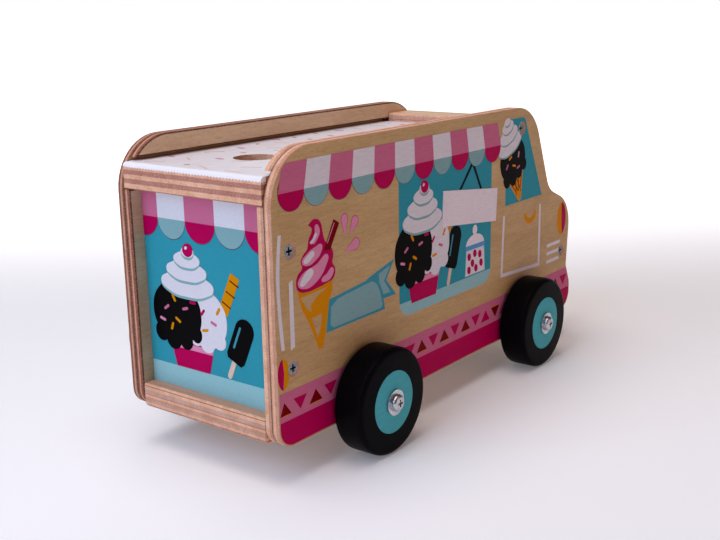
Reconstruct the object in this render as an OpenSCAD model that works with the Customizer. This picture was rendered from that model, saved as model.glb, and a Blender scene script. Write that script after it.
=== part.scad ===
// Toy ice cream truck: a plywood box on four wooden wheels, with a roof board
// that slides out to the rear. +X is forward, +Y is left and +Z is up, and the
// origin is on the ground under the middle of the toy.

/* [Body] */
// Length of the side panels, from the rear edge to the bumper
body_l = 266; // [235:1:320]
// Height of the side panels
body_h = 126; // [118:1:152]
// Width over the two outer side sheets
body_w = 92; // [76:1:120]
// Thickness of one side sheet; each side is an outer and an inner sheet
sheet_t = 4; // [3:0.5:6]
// Radius of the rear top corners
rear_top_r = 24; // [8:1:28]
// Radius of the rear bottom corners
rear_low_r = 9; // [4:0.5:14]

/* [Front end] */
// Distance from the bumper back to the foot of the windscreen
cowl_back = 30; // [26:1:40]
// Height of the windscreen foot above the panel's lower edge
cowl_h = 76.5; // [70:0.5:84]
// Distance from the bumper back to where the windscreen line meets the roof
roof_back = 50.5; // [45:0.5:62]
// Distance from the bumper back to the upright nose
nose_back = 2; // [1:0.5:4]
// Height of the bonnet's front edge above the panel's lower edge
nose_h = 65; // [60:0.5:70]
// Distance from the bumper back to the waist above it
waist_back = 5.2; // [3:0.2:8]
// Height of the waist above the panel's lower edge
waist_h = 26.5; // [22:0.5:32]
// Height of the bumper's upper corner above the panel's lower edge
bumper_h = 15.5; // [12:0.5:18]
// Radius between the windscreen and the roof
roof_r = 26; // [12:1:30]
// Radius in the hollow at the foot of the windscreen
cowl_r = 16; // [6:1:20]
// Radius of the nose
nose_r = 20; // [8:1:22]
// Radius of the bumper's lower corner
bumper_r = 10; // [4:0.5:12]
// Radius of the bumper's upper corner and of the waist
waist_r = 6; // [2:0.5:7]

/* [Boards] */
// Thickness of the floor board
floor_t = 12; // [10:0.5:15]
// Radius of the floor board's lower rear edge
floor_edge_r = 3; // [1:0.5:5]
// How far the side sheets reach below the floor board
sheet_drop = 1; // [0:0.5:2]
// Thickness of the rear board and of the front board
board_t = 8; // [6:0.5:10]
// How far the rear board lies in from the rear edge
rear_recess = 6.5; // [4:0.5:10]
// How far the front board lies in from the bumper
front_recess = 8.3; // [7:0.1:12]
// Thickness of the windscreen board and of the bonnet board
slope_t = 6; // [4:0.5:8]
// How far the windscreen and bonnet boards lie inside the outline
slope_recess = 4; // [2:0.5:6]
// Length of the roof crossbar, front to back
crossbar_l = 15; // [11:0.5:17]
// Height of the roof crossbar
crossbar_h = 10.5; // [8:0.5:12]
// Distance from the roof edge down to the crossbar
crossbar_drop = 6; // [4:0.5:8]

/* [Sliding roof] */
// Distance from the bumper back to the front end of the sliding roof board
roof_front = 72; // [70:1:96]
// Thickness of the sliding roof board
lid_t = 12; // [8:0.2:15]
// Distance from the roof edge down to the slot that holds the board
slot_drop = 9; // [7:0.5:11]
// Play of the board in the height of its slot
lid_play = 1.8; // [1:0.1:3]
// Clearance beside the board and at its front stop
lid_clear = 0.8; // [0.3:0.1:1]
// Diameter of the finger hole
finger_d = 20; // [15:0.5:26]
// Distance from the rear edge to the middle of the finger hole
finger_back = 41; // [25:1:60]
// Radius on the rear edges of the board
lid_edge_r = 2; // [0.5:0.5:3]

/* [Wheels] */
// Diameter of a wheel
wheel_d = 50; // [42:1:60]
// Width of a wheel
wheel_w = 15; // [10:0.5:20]
// Radius on the outer edge of the tread
wheel_outer_r = 3; // [1:0.5:4]
// Radius on the inner edge of the tread
wheel_inner_r = 1.5; // [0.5:0.5:3]
// Distance from the rear edge to the rear axle
rear_axle = 59; // [50:1:72]
// Distance from the bumper back to the front axle
front_axle = 62; // [54:1:75]
// Radial clearance between a wheel and its screw
wheel_clear = 0.08; // [0.02:0.01:0.1]
// Clearance between a wheel and each of its washers
washer_clear = 0.15; // [0.1:0.05:0.4]
// Diameter of a washer
washer_d = 12; // [10:0.5:14]
// Thickness of a washer
washer_t = 1; // [0.8:0.1:1.5]

/* [Screws] */
// Diameter of the wheel screws
axle_d = 4; // [3:0.1:5]
// Length of a wheel screw inside the sheets and the floor board
axle_grip = 28; // [20:1:34]
// Diameter of a wheel screw's head
pan_d = 8; // [7:0.1:9]
// Height of a wheel screw's head
pan_h = 2.4; // [2:0.1:3]
// Diameter of the panel screws
screw_d = 3; // [2.5:0.1:4]
// Length of a panel screw
screw_l = 28; // [22:1:32]
// Diameter of a panel screw's countersunk head
head_d = 6; // [5:0.1:8]
// Diameter of the countersink in the sheet
sink_d = 7.6; // [7.6:0.1:10]
// Depth of a panel screw's head below the face of the sheet
sink_depth = 0.7; // [0.3:0.1:1]
// Radial clearance of a screw in its hole
screw_clear = 0.05; // [0.02:0.01:0.1]
// Height of the lower rear screw above the panel's lower edge
rear_screw_low = 34; // [26:1:44]
// Height of the upper rear screw above the panel's lower edge
rear_screw_high = 84; // [60:1:90]
// Height of the front board's screw above the panel's lower edge
front_screw_h = 37; // [28:1:46]
// Length of one arm of the cross in a screw head, from its middle
cross_l = 1.8; // [1.4:0.1:2]
// Width of the cross in a screw head
cross_w = 0.9; // [0.6:0.1:1.1]
// Depth of the cross in a screw head
cross_depth = 1.2; // [0.8:0.1:1.5]

/* [Hidden] */
$fn = 64;
arc_steps = 12;      // flat steps in one rounded corner
tip_l = 4;           // length of the point of a screw
over = 1;            // how far a cut runs past the face it opens

rear_x = -body_l / 2;
front_x = body_l / 2;
axle_z = wheel_d / 2;
floor_z = axle_z - floor_t / 2;
floor_top = floor_z + floor_t;
low_z = floor_z - sheet_drop;
roof_z = low_z + body_h;
outer_y = body_w / 2;
seam_y = outer_y - sheet_t;
inner_y = seam_y - sheet_t;

slot_top = roof_z - slot_drop;
slot_low = slot_top - lid_play - lid_t;
lid_gap = 0.2;       // gap under the roof board
lid_z = slot_low + lid_gap;
lid_x = front_x - roof_front;
slot_x = lid_x + lid_clear;
crossbar_x = slot_x + crossbar_l;
crossbar_top = roof_z - crossbar_drop;

rear_board_x = rear_x + rear_recess;
front_board_x = front_x - front_recess;
rear_axle_x = rear_x + rear_axle;
front_axle_x = front_x - front_axle;
wheel_y = outer_y + washer_t + washer_clear;
head_y = wheel_y + wheel_w + washer_clear + washer_t;

// Corners of the side outline, each with its radius, from the rear bottom corner
nose = [front_x - nose_back, low_z + nose_h];
cowl = [front_x - cowl_back, low_z + cowl_h];
brow = [front_x - roof_back, roof_z];
side_corners = [
    [[rear_x, low_z], rear_low_r],
    [[front_x, low_z], bumper_r],
    [[front_x, low_z + bumper_h], waist_r],
    [[front_x - waist_back, low_z + waist_h], waist_r],
    [nose, nose_r],
    [cowl, cowl_r],
    [brow, roof_r],
    [[rear_x, roof_z], rear_top_r]
];

// Where each pair of side screws goes, as [x, z]
side_screws = [
    [rear_board_x + board_t / 2, low_z + rear_screw_low],
    [rear_board_x + board_t / 2, low_z + rear_screw_high],
    [slot_x + crossbar_l / 2, crossbar_top - crossbar_h / 2],
    [front_board_x - board_t / 2, low_z + front_screw_h]
];

function unit(v) = v / norm(v);
function bearing(v) = atan2(v[1], v[0]);

// The arc that rounds the corner b between a and c
function rounded_corner(a, b, c, r) =
    let (
        u = unit(a - b),
        v = unit(c - b),
        half = acos(u * v) / 2,
        middle = b + unit(u + v) * r / sin(half),
        start = bearing(b + u * r / tan(half) - middle),
        end = bearing(b + v * r / tan(half) - middle),
        turn = (end - start + 540) % 360 - 180
    )
    [for (i = [0 : arc_steps])
        let (angle = start + turn * i / arc_steps)
        middle + r * [cos(angle), sin(angle)]];

// A closed outline from corners that each have their radius
function rounded_outline(corners) =
    let (n = len(corners))
    [for (i = [0 : n - 1])
        let (b = corners[i][0], r = corners[i][1])
        each r > 0
            ? rounded_corner(corners[(i + n - 1) % n][0], b, corners[(i + 1) % n][0], r)
            : [b]];

// Where the line through p along u meets the line through q along v
function meet(p, u, q, v) = p + u * cross(q - p, v) / cross(u, v);
function left_of(v) = [-v[1], v[0]];
function at_x(p, u, x) = meet(p, u, [x, 0], [0, 1]);

// The two faces of the windscreen board and of the bonnet board
screen_dir = unit(brow - cowl);
bonnet_dir = unit(cowl - nose);
screen_outer = cowl + left_of(screen_dir) * slope_recess;
screen_inner = cowl + left_of(screen_dir) * (slope_recess + slope_t);
bonnet_outer = cowl + left_of(bonnet_dir) * slope_recess;
bonnet_inner = cowl + left_of(bonnet_dir) * (slope_recess + slope_t);
mitre_outer = meet(screen_outer, screen_dir, bonnet_outer, bonnet_dir);
mitre_inner = meet(screen_inner, screen_dir, bonnet_inner, bonnet_dir);

// A flat shape in x and z, extruded from y0 to y1
module plate(y0, y1) {
    translate([0, y1, 0]) rotate([90, 0, 0]) linear_extrude(y1 - y0) children();
}

// A round shape whose axis runs out to the left from x, y, z
module outward(x, y, z) {
    translate([x, y, z]) rotate([-90, 0, 0]) children();
}

module on_side(side) {
    mirror([0, side < 0 ? 1 : 0, 0]) children();
}

module side_outline() {
    polygon(rounded_outline(side_corners));
}

module strip(x0, x1, z0, z1) {
    translate([x0, z0]) square([x1 - x0, z1 - z0]);
}

// The holes that the screws of one side need, with room round each screw
module screw_holes() {
    for (p = side_screws)
        outward(p[0], outer_y - sink_depth - screw_l - over, p[1])
            cylinder(h = screw_l + sink_depth + 2 * over, d = screw_d + 2 * screw_clear);
    for (x = [rear_axle_x, front_axle_x])
        outward(x, outer_y - axle_grip - over, axle_z)
            cylinder(h = axle_grip + 2 * over, d = axle_d + 2 * screw_clear);
}

module countersinks() {
    sink_h = (sink_d - screw_d) / 2;
    for (p = side_screws)
        outward(p[0], outer_y - sink_h, p[1])
            cylinder(h = sink_h + over, d1 = screw_d, d2 = sink_d + 2 * over);
}

module cross_cut() {
    for (turn = [0, 90])
        rotate(turn) translate([0, 0, over / 2])
            cube([2 * cross_l, cross_w, over + 2 * cross_depth], center = true);
}

// A panel screw, its head's face at the origin and its point along -z
module countersunk_screw() {
    neck = (head_d - screw_d) / 2;
    difference() {
        rotate_extrude() polygon([
            [0, 0], [head_d / 2, 0], [screw_d / 2, -neck],
            [screw_d / 2, tip_l - screw_l], [0, -screw_l]
        ]);
        cross_cut();
    }
}

// A wheel screw, the underside of its head at the origin and its point along -z
module pan_screw(length) {
    crown_r = pan_h * 0.7;
    difference() {
        rotate_extrude() polygon(concat(
            [[0, -length], [axle_d / 2, tip_l - length], [axle_d / 2, 0], [pan_d / 2, 0]],
            rounded_corner([pan_d / 2, 0], [pan_d / 2, pan_h], [0, pan_h], crown_r),
            [[0, pan_h]]
        ));
        translate([0, 0, pan_h]) cross_cut();
    }
}

module ring(outer_d, inner_d, h) {
    difference() {
        cylinder(h = h, d = outer_d);
        translate([0, 0, -over]) cylinder(h = h + 2 * over, d = inner_d);
    }
}

module outer_sheet(side) {
    color("burlywood") on_side(side) difference() {
        plate(seam_y, outer_y) side_outline();
        screw_holes();
        countersinks();
    }
}

// The inner sheet has the same outline, with the slot for the roof board
module inner_sheet(side) {
    color("tan") on_side(side) difference() {
        plate(inner_y, seam_y) difference() {
            side_outline();
            strip(rear_x - over, slot_x, slot_low, slot_top);
        }
        screw_holes();
    }
}

// A board between the two inner sheets, drilled for the screws of both sides
module cross_board() {
    difference() {
        plate(-inner_y, inner_y) children();
        for (side = [-1, 1]) on_side(side) screw_holes();
    }
}

module wheel(x, side) {
    color("#1b1a1e") on_side(side) outward(x, wheel_y, axle_z)
        rotate_extrude() polygon(rounded_outline([
            [[axle_d / 2 + wheel_clear, 0], 0],
            [[wheel_d / 2, 0], wheel_inner_r],
            [[wheel_d / 2, wheel_w], wheel_outer_r],
            [[axle_d / 2 + wheel_clear, wheel_w], 0]
        ]));
}

module wheel_screw(x, side) {
    color("silver") on_side(side) outward(x, head_y, axle_z)
        pan_screw(head_y - outer_y + axle_grip);
}

// The washer between the side and the wheel, and the one under the screw's head
module washers(x, side) {
    color("gainsboro") on_side(side) for (y = [outer_y, head_y - washer_t])
        outward(x, y, axle_z) ring(washer_d, axle_d + 2 * screw_clear, washer_t);
}

module side_screw_set(side) {
    color("silver") on_side(side) for (p = side_screws)
        outward(p[0], outer_y - sink_depth, p[1]) countersunk_screw();
}

module right_side_panel() outer_sheet(-1);
module left_side_panel() outer_sheet(1);
module right_inner_panel() inner_sheet(-1);
module left_inner_panel() inner_sheet(1);

module floor_board() {
    color("burlywood") cross_board() intersection() {
        union() {
            side_outline();
            polygon(rounded_outline([
                [[rear_x, floor_z], floor_edge_r], [[rear_axle_x, floor_z], 0],
                [[rear_axle_x, floor_top], 0], [[rear_x, floor_top], 0]
            ]));
        }
        strip(rear_x - over, front_x + over, floor_z, floor_top);
    }
}

module rear_board() {
    color("#3a8ca3") cross_board()
        strip(rear_board_x, rear_board_x + board_t, floor_top, slot_low);
}

module front_board() {
    x0 = front_board_x - board_t;
    color("burlywood") cross_board() polygon([
        [x0, floor_top], [front_board_x, floor_top],
        at_x(bonnet_inner, bonnet_dir, front_board_x), at_x(bonnet_inner, bonnet_dir, x0)
    ]);
}

module bonnet_board() {
    color("burlywood") cross_board() polygon([
        mitre_inner, at_x(bonnet_inner, bonnet_dir, front_board_x),
        at_x(bonnet_outer, bonnet_dir, front_board_x), mitre_outer
    ]);
}

module windscreen_board() {
    color("#3a8ca3") cross_board() intersection() {
        polygon([
            mitre_inner, mitre_outer,
            mitre_outer + screen_dir * body_h, mitre_inner + screen_dir * body_h
        ]);
        strip(crossbar_x, front_x, low_z, crossbar_top);
    }
}

module roof_crossbar() {
    color("burlywood") cross_board()
        strip(slot_x, crossbar_x, crossbar_top - crossbar_h, crossbar_top);
}

module sliding_roof() {
    half_w = seam_y - lid_clear;
    color("whitesmoke") difference() {
        plate(-half_w, half_w) polygon(rounded_outline([
            [[rear_x, lid_z], lid_edge_r / 2],
            [[lid_x, lid_z], 0],
            [[lid_x, lid_z + lid_t], 0],
            [[rear_x, lid_z + lid_t], lid_edge_r]
        ]));
        translate([rear_x + finger_back, 0, lid_z - over])
            cylinder(h = lid_t + 2 * over, d = finger_d);
    }
}

module rear_right_wheel() wheel(rear_axle_x, -1);
module rear_left_wheel() wheel(rear_axle_x, 1);
module front_right_wheel() wheel(front_axle_x, -1);
module front_left_wheel() wheel(front_axle_x, 1);
module rear_right_wheel_screw() wheel_screw(rear_axle_x, -1);
module rear_left_wheel_screw() wheel_screw(rear_axle_x, 1);
module front_right_wheel_screw() wheel_screw(front_axle_x, -1);
module front_left_wheel_screw() wheel_screw(front_axle_x, 1);
module rear_right_washers() washers(rear_axle_x, -1);
module rear_left_washers() washers(rear_axle_x, 1);
module front_right_washers() washers(front_axle_x, -1);
module front_left_washers() washers(front_axle_x, 1);
module right_panel_screws() side_screw_set(-1);
module left_panel_screws() side_screw_set(1);

right_side_panel();
left_side_panel();
right_inner_panel();
left_inner_panel();
floor_board();
rear_board();
front_board();
bonnet_board();
windscreen_board();
roof_crossbar();
sliding_roof();
rear_right_wheel();
rear_left_wheel();
front_right_wheel();
front_left_wheel();
rear_right_wheel_screw();
rear_left_wheel_screw();
front_right_wheel_screw();
front_left_wheel_screw();
rear_right_washers();
rear_left_washers();
front_right_washers();
front_left_washers();
right_panel_screws();
left_panel_screws();
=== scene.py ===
import math
import random

import bmesh
import bpy
from mathutils import Matrix, Vector


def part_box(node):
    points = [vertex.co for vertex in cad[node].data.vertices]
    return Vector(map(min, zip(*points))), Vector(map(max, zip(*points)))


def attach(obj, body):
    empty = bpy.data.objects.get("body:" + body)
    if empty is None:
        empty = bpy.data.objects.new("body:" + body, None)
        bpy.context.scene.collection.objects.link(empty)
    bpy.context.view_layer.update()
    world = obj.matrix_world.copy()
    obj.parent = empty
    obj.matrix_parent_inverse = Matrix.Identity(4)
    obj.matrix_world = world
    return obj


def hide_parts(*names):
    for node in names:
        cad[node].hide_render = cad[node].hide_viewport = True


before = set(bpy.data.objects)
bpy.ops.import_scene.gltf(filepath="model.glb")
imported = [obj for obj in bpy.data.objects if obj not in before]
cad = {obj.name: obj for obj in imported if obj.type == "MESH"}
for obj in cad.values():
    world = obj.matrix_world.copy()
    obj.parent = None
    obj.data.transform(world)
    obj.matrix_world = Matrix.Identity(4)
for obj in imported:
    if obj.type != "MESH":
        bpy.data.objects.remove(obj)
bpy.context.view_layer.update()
mm = 0.001
sides = {"right": -1, "left": 1}
print("frame loaded")


# camera, lights and floor

cameraSet = {
    "place": (-0.4231, -0.3136, 0.1957),  # metres
    "heading": -52.33,  # degrees, anticlockwise from looking along +Y
    "tilt": 14.24,  # degrees down
    "roll": -1.04,
    "lens": 50.96,
}

# each softbox: where it stands, what it points at, its size in metres, its watts and its tint
studio = {
    "topSoftbox": ((-0.25, 0.1, 1.3), (0, 0, 0.05), 1.0, 10.8, "fff3f1"),
    "rearSoftbox": ((-1.2, 0.2, 0.8), (-0.1, 0, 0.08), 1.1, 12.2, "c8deff"),
    "sideSoftbox": ((0.4, -1.4, 0.5), (0, 0, 0.07), 1.2, 3.4, "ffb6a8"),
}
# the room is dim all round, but for the lit wall behind the truck
roomLight = {"tint": "ffffff", "dim": 0.06, "bright": 1.0, "spread": (0.72, 0.9)}
# the paper glows more from the first to the second distance behind the truck, in metres
paper = {"nearGlow": 0.1, "farGlow": 1.0, "reach": (0.12, 0.7)}


def linear(hexText, alpha=1.0):
    parts = [int(hexText[i:i + 2], 16) / 255 for i in (0, 2, 4)]
    return tuple(c / 12.92 if c <= 0.04045 else ((c + 0.055) / 1.055) ** 2.4 for c in parts) + (alpha,)


def addNode(tree, kind, values=None, links=None, stops=None, **settings):
    # stops are the places and colours along a colour ramp
    node = tree.nodes.new("ShaderNode" + kind)
    for key, value in settings.items():
        setattr(node, key, value)
    for socket, value in (values or {}).items():
        node.inputs[socket].default_value = value
    for socket, source in (links or {}).items():
        tree.links.new(source, node.inputs[socket])
    if stops:
        elements = node.color_ramp.elements
        while len(elements) < len(stops):
            elements.new(1.0)
        for element, (place, colour) in zip(elements, stops):
            element.position = place
            element.color = linear(colour)
    return node


def addObject(name, data):
    thing = bpy.data.objects.new(name, data)
    bpy.context.scene.collection.objects.link(thing)
    return thing


def meshFrom(name, bm):
    data = bpy.data.meshes.new(name)
    bm.to_mesh(data)
    bm.free()
    return data


def makeCamera():
    data = bpy.data.cameras.new("productCamera")
    data.lens = cameraSet["lens"]
    data.sensor_width = 36
    data.clip_start = 0.01
    eye = addObject("productCamera", data)
    turn = (Matrix.Rotation(math.radians(cameraSet["heading"]), 4, "Z")
            @ Matrix.Rotation(math.radians(90 - cameraSet["tilt"]), 4, "X")
            @ Matrix.Rotation(math.radians(cameraSet["roll"]), 4, "Z"))
    eye.matrix_world = Matrix.Translation(cameraSet["place"]) @ turn
    bpy.context.scene.camera = eye


def makeLights():
    for name, (place, target, size, watts, tint) in studio.items():
        data = bpy.data.lights.new(name, "AREA")
        data.shape = "SQUARE"
        data.size = size
        data.energy = watts
        data.color = linear(tint)[:3]
        lamp = addObject(name, data)
        lamp.location = place
        aim = Vector(target) - Vector(place)
        lamp.rotation_euler = aim.to_track_quat("-Z", "Y").to_euler()
    world = bpy.data.worlds.new("paleRoom")
    bpy.context.scene.world = world
    world.use_nodes = True
    tree = world.node_tree
    sky = tree.nodes["Background"]
    look = addNode(tree, "TexCoord")
    facing = addNode(tree, "VectorMath", {1: cameraAhead()}, {0: look.outputs["Generated"]},
                     operation="DOT_PRODUCT")
    low, high = roomLight["spread"]
    level = addNode(tree, "MapRange",
                    {"From Min": low, "From Max": high,
                     "To Min": roomLight["dim"], "To Max": roomLight["bright"]},
                    {"Value": facing.outputs["Value"]}, interpolation_type="SMOOTHSTEP")
    sky.inputs["Color"].default_value = linear(roomLight["tint"])
    tree.links.new(level.outputs[0], sky.inputs["Strength"])


def cameraAhead():
    return Matrix.Rotation(math.radians(cameraSet["heading"]), 3, "Z") @ Vector((0, 1, 0))


def makeFloor():
    bm = bmesh.new()
    bmesh.ops.create_grid(bm, x_segments=1, y_segments=1, size=6)
    floor = addObject("studioFloor", meshFrom("studioFloor", bm))
    sheet = bpy.data.materials.new("whiteBackdropPaper")
    sheet.use_nodes = True
    tree = sheet.node_tree
    shader = tree.nodes["Principled BSDF"]
    place = addNode(tree, "TexCoord")
    away = addNode(tree, "VectorMath", {1: cameraAhead()}, {0: place.outputs["Object"]},
                   operation="DOT_PRODUCT")
    near, far = paper["reach"]
    glow = addNode(tree, "MapRange",
                   {"From Min": near, "From Max": far,
                    "To Min": paper["nearGlow"], "To Max": paper["farGlow"]},
                   {"Value": away.outputs["Value"]}, interpolation_type="SMOOTHSTEP")
    shader.inputs["Base Color"].default_value = linear("f4f4f5")
    shader.inputs["Roughness"].default_value = 0.9
    shader.inputs["Emission Color"].default_value = linear("ffffff")
    tree.links.new(glow.outputs[0], shader.inputs["Emission Strength"])
    floor.data.materials.append(sheet)


bpy.context.scene.view_settings.view_transform = "Standard"
makeCamera()
makeLights()
makeFloor()
print("camera, lights and floor made")


# materials

def newMaterial(name, roughness, sheen=0.15, **sockets):
    material = bpy.data.materials.new(name)
    material.use_nodes = True
    shader = material.node_tree.nodes["Principled BSDF"]
    for socket, value in {"Roughness": roughness, "Specular IOR Level": sheen, **sockets}.items():
        shader.inputs[socket].default_value = value
    return material, material.node_tree


def stretchedNoise(tree, lengths, detail=3, roughness=0.55, distortion=0.0):
    # noise on the object's own metres; lengths are the size of one blotch in millimetres, along x, y and z
    place = addNode(tree, "TexCoord")
    grid = addNode(tree, "Mapping", {"Scale": [1000 / length for length in lengths]},
                   {"Vector": place.outputs["Object"]})
    noise = addNode(tree, "TexNoise",
                    {"Scale": 1.0, "Detail": detail, "Roughness": roughness, "Distortion": distortion},
                    {"Vector": grid.outputs[0]})
    return noise.outputs["Fac"]


def alongAxis(tree, axis):
    # how far a point lies along one axis of the piece, in metres
    place = addNode(tree, "TexCoord")
    parts = addNode(tree, "SeparateXYZ", links={"Vector": place.outputs["Object"]})
    return parts.outputs[axis]


def layered(tree, base, layers):
    # each layer goes over those before it: its node, how far it shows and how it mixes
    for node, share, mode in layers:
        mix = addNode(tree, "Mix", {0: share}, {6: base, 7: node.outputs[0]},
                      data_type="RGBA", blend_type=mode)
        base = mix.outputs[2]
    return base


def dress(material, colour, height, depth, strength):
    # wires in the colour, and a relief that is depth mm deep
    tree = material.node_tree
    shader = tree.nodes["Principled BSDF"]
    bump = addNode(tree, "Bump", {"Strength": strength, "Distance": depth * mm}, {"Height": height})
    tree.links.new(colour, shader.inputs["Base Color"])
    tree.links.new(bump.outputs["Normal"], shader.inputs["Normal"])


def paintOver(material, colour, mask):
    # lays one more colour over a dressed material, where the mask is 1
    tree = material.node_tree
    target = tree.nodes["Principled BSDF"].inputs["Base Color"]
    mix = addNode(tree, "Mix", {7: linear(colour)}, {0: mask, 6: target.links[0].from_socket},
                  data_type="RGBA")
    tree.links.new(mix.outputs[2], target)


birch = {
    # the paler and the darker colour of each board's figure; the inner tone is paler birch as painted
    # light, for the light the inner faces catch off the white lid
    "tones": {"outer": ("cdac7a", "c09d6a"), "inner": ("f0d2ae", "e2c29c"),
              "floor": ("c89d83", "b98d73"), "crossbar": ("e2bd98", "d4ae88")},
    "figure": 60, "fibre": 7, "pore": 2.0,  # mm along the grain
    "figureWidth": 10, "fibreWidth": 0.6, "poreWidth": 0.3,  # mm across it, coarser than real to show up
    # painted shade: the share of brightness left on the inner faces below the lid
    "paintedBoxShade": 0.72,  # how bright the inner faces are below the lid
}


def along(grain, length, width):
    return [length if axis == grain else width for axis in "xyz"]


def makeBirchFace(name, grain="x", tone="outer"):
    # rotary-cut birch under satin varnish: warm tan, long soft figure, short dark pores
    material, tree = newMaterial(name, 0.46)
    figure = stretchedNoise(tree, along(grain, birch["figure"], birch["figureWidth"]), 3, 0.6, 0.5)
    fibre = stretchedNoise(tree, along(grain, birch["fibre"], birch["fibreWidth"]), 4, 0.65)
    pores = stretchedNoise(tree, along(grain, birch["pore"], birch["poreWidth"]), 2)
    light, dark = birch["tones"][tone]
    base = addNode(tree, "ValToRGB", links={"Fac": figure}, stops=[(0.32, dark), (0.68, light)])
    streak = addNode(tree, "ValToRGB", links={"Fac": fibre},
                     stops=[(0.28, "d9cfc4"), (0.6, "ffffff")])
    specks = addNode(tree, "ValToRGB", links={"Fac": pores},
                     stops=[(0.3, "a08468"), (0.39, "ffffff")])
    colour = layered(tree, base.outputs["Color"], [(streak, 0.5, "MULTIPLY"), (specks, 0.4, "MULTIPLY")])
    dress(material, colour, fibre, 0.05, 0.35)
    return material


def paintShadeBelow(material, low, high, share):
    # painted shade inside the box and in the lid's groove: full colour above high, that share of it below
    # low
    tree = material.node_tree
    target = tree.nodes["Principled BSDF"].inputs["Base Color"]
    level = addNode(tree, "MapRange",
                    {"From Min": low, "From Max": high, "To Min": share, "To Max": 1},
                    {"Value": alongAxis(tree, "Z")})
    tree.links.new(layered(tree, target.links[0].from_socket, [(level, 1, "MULTIPLY")]), target)


plies = {
    "light": "f2bb98", "dark": "c28472", "mid": "d39c80", "dusky": "d3a692", "rust": "94553f",
    "glue": "9a6a58", "seam": "5e3c2e",
    "wobble": 0.3,  # mm that a glue line wanders
}

# each board's plies from its lower or inner face, in mm
innerSheet = [(0.3, "seam"), (2.0, "light"), (1.4, "mid"), (0.3, "glue")]
outerSheet = [(0.3, "seam"), (0.5, "mid"), (1.3, "light"), (1.9, "mid")]
darkInnerSheet = [(0.3, "seam"), (1.4, "rust"), (1.0, "mid"), (0.8, "rust"), (0.5, "seam")]
darkOuterSheet = [(0.3, "seam"), (0.8, "rust"), (1.1, "mid"), (0.3, "glue"), (1.5, "rust")]
boardPlies = [(0.8, "light"), (1.0, "dark"), (1.3, "light"), (1.1, "dusky"), (1.4, "mid"), (1.1, "light"),
              (0.5, "dark"), (2.0, "dusky"), (1.5, "light"), (0.4, "glue"), (0.9, "light")]
lidPlies = [(0.6, "dark"), (2.1, "light"), (2.1, "dark"), (1.9, "light"), (2.1, "dark"), (3.2, "light")]
lidWrap = {"colour": "f3eef1", "drop": 2.5, "tooth": 0.9, "ripple": 0.5, "reach": 3}  # mm


def layerColours(tree, axis, start, layers, mirrored=False):
    # the plies of an edge, as colours by the distance from one face of the board
    total = sum(thick for thick, kind in layers)
    depth = alongAxis(tree, axis.upper())
    if mirrored:
        depth = addNode(tree, "Math", links={0: depth}, operation="ABSOLUTE").outputs[0]
    lengths = [9.0, 9.0, 9.0]
    lengths["xyz".index(axis)] = 1.5
    wander = stretchedNoise(tree, lengths, 3, 0.6)
    shift = addNode(tree, "Math", {1: plies["wobble"] / total, 2: -plies["wobble"] / total / 2},
                    {0: wander}, operation="MULTIPLY_ADD")
    share = addNode(tree, "Math", {1: 1 / (total * mm), 2: -start / total}, {0: depth},
                    operation="MULTIPLY_ADD")
    where = addNode(tree, "Math", links={0: share.outputs[0], 1: shift.outputs[0]},
                    operation="ADD")
    marks, reached = [], 0.0
    for thick, kind in layers:
        marks.append((reached / total, plies[kind]))
        reached += thick
    ramp = addNode(tree, "ValToRGB", links={"Fac": where.outputs[0]}, stops=marks)
    ramp.color_ramp.interpolation = "CONSTANT"
    return ramp.outputs["Color"]


def makePlyEdge(name, axis, start, layers, mirrored=False):
    # sanded plywood edge: pale long-grain plies between darker end-grain ones, with specks and pale flecks
    material, tree = newMaterial(name, 0.62)
    bands = layerColours(tree, axis, start, layers, mirrored)
    grain = stretchedNoise(tree, [0.5, 0.5, 0.5], 3, 0.7)
    smear = stretchedNoise(tree, [5, 5, 5], 2)
    sparkle = stretchedNoise(tree, [0.7, 0.7, 0.7], 2, 0.6)
    specks = addNode(tree, "ValToRGB", links={"Fac": grain},
                     stops=[(0.34, "8f6f64"), (0.5, "ffffff")])
    patches = addNode(tree, "ValToRGB", links={"Fac": smear},
                      stops=[(0.35, "d8c0b2"), (0.65, "ffffff")])
    flecks = addNode(tree, "ValToRGB", links={"Fac": sparkle},
                     stops=[(0.5, "000000"), (0.64, "8a7468")])
    colour = layered(tree, bands, [(specks, 0.5, "MULTIPLY"), (patches, 0.5, "MULTIPLY"),
                                   (flecks, 0.6, "SCREEN")])
    dress(material, colour, grain, 0.12, 0.5)
    return material


inkColours = {
    "mauvePink": "cb6d8f", "rosePink": "de8eaf", "candyPink": "cf94ab", "magenta": "b80052",
    "darkRed": "760008", "orange": "d88b00", "honey": "c79a58", "beige": "dcc3b0",
    "teal": "3397a9", "deepTeal": "3f96a8", "discTeal": "51b2bc", "paleTeal": "85aeb1",
    "counterTeal": "95c5ca", "skyBlue": "5e9fd6", "white": "dfdbe2", "signWhite": "ece3e9",
    "black": "080709", "rimLine": "54505a",
}


def makeInk(name, colour):
    # screen-printed ink on birch: an even satin film that the fibres just show through
    material, tree = newMaterial(name, 0.42, 0.02)
    fibre = stretchedNoise(tree, [4, 0.5, 0.5], 4, 0.65)
    film = addNode(tree, "ValToRGB", links={"Fac": fibre}, stops=[(0.3, "eae6e4"), (0.6, "ffffff")])
    base = addNode(tree, "RGB")
    base.outputs[0].default_value = linear(colour)
    dress(material, layered(tree, base.outputs[0], [(film, 0.6, "MULTIPLY")]), fibre, 0.03, 0.3)
    return material


def makeLidPaint():
    # sprayed white lacquer on birch: satin, with faint orange peel
    material, tree = newMaterial("whiteLacquer", 0.45)
    peel = stretchedNoise(tree, [1.4, 1.4, 1.4], 2)
    cloud = stretchedNoise(tree, [30, 12, 12], 2)
    colour = addNode(tree, "ValToRGB", links={"Fac": cloud},
                     stops=[(0.3, "dcd6d9"), (0.7, "e6e1e3")])
    dress(material, colour.outputs["Color"], peel, 0.04, 0.3)
    return material


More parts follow.
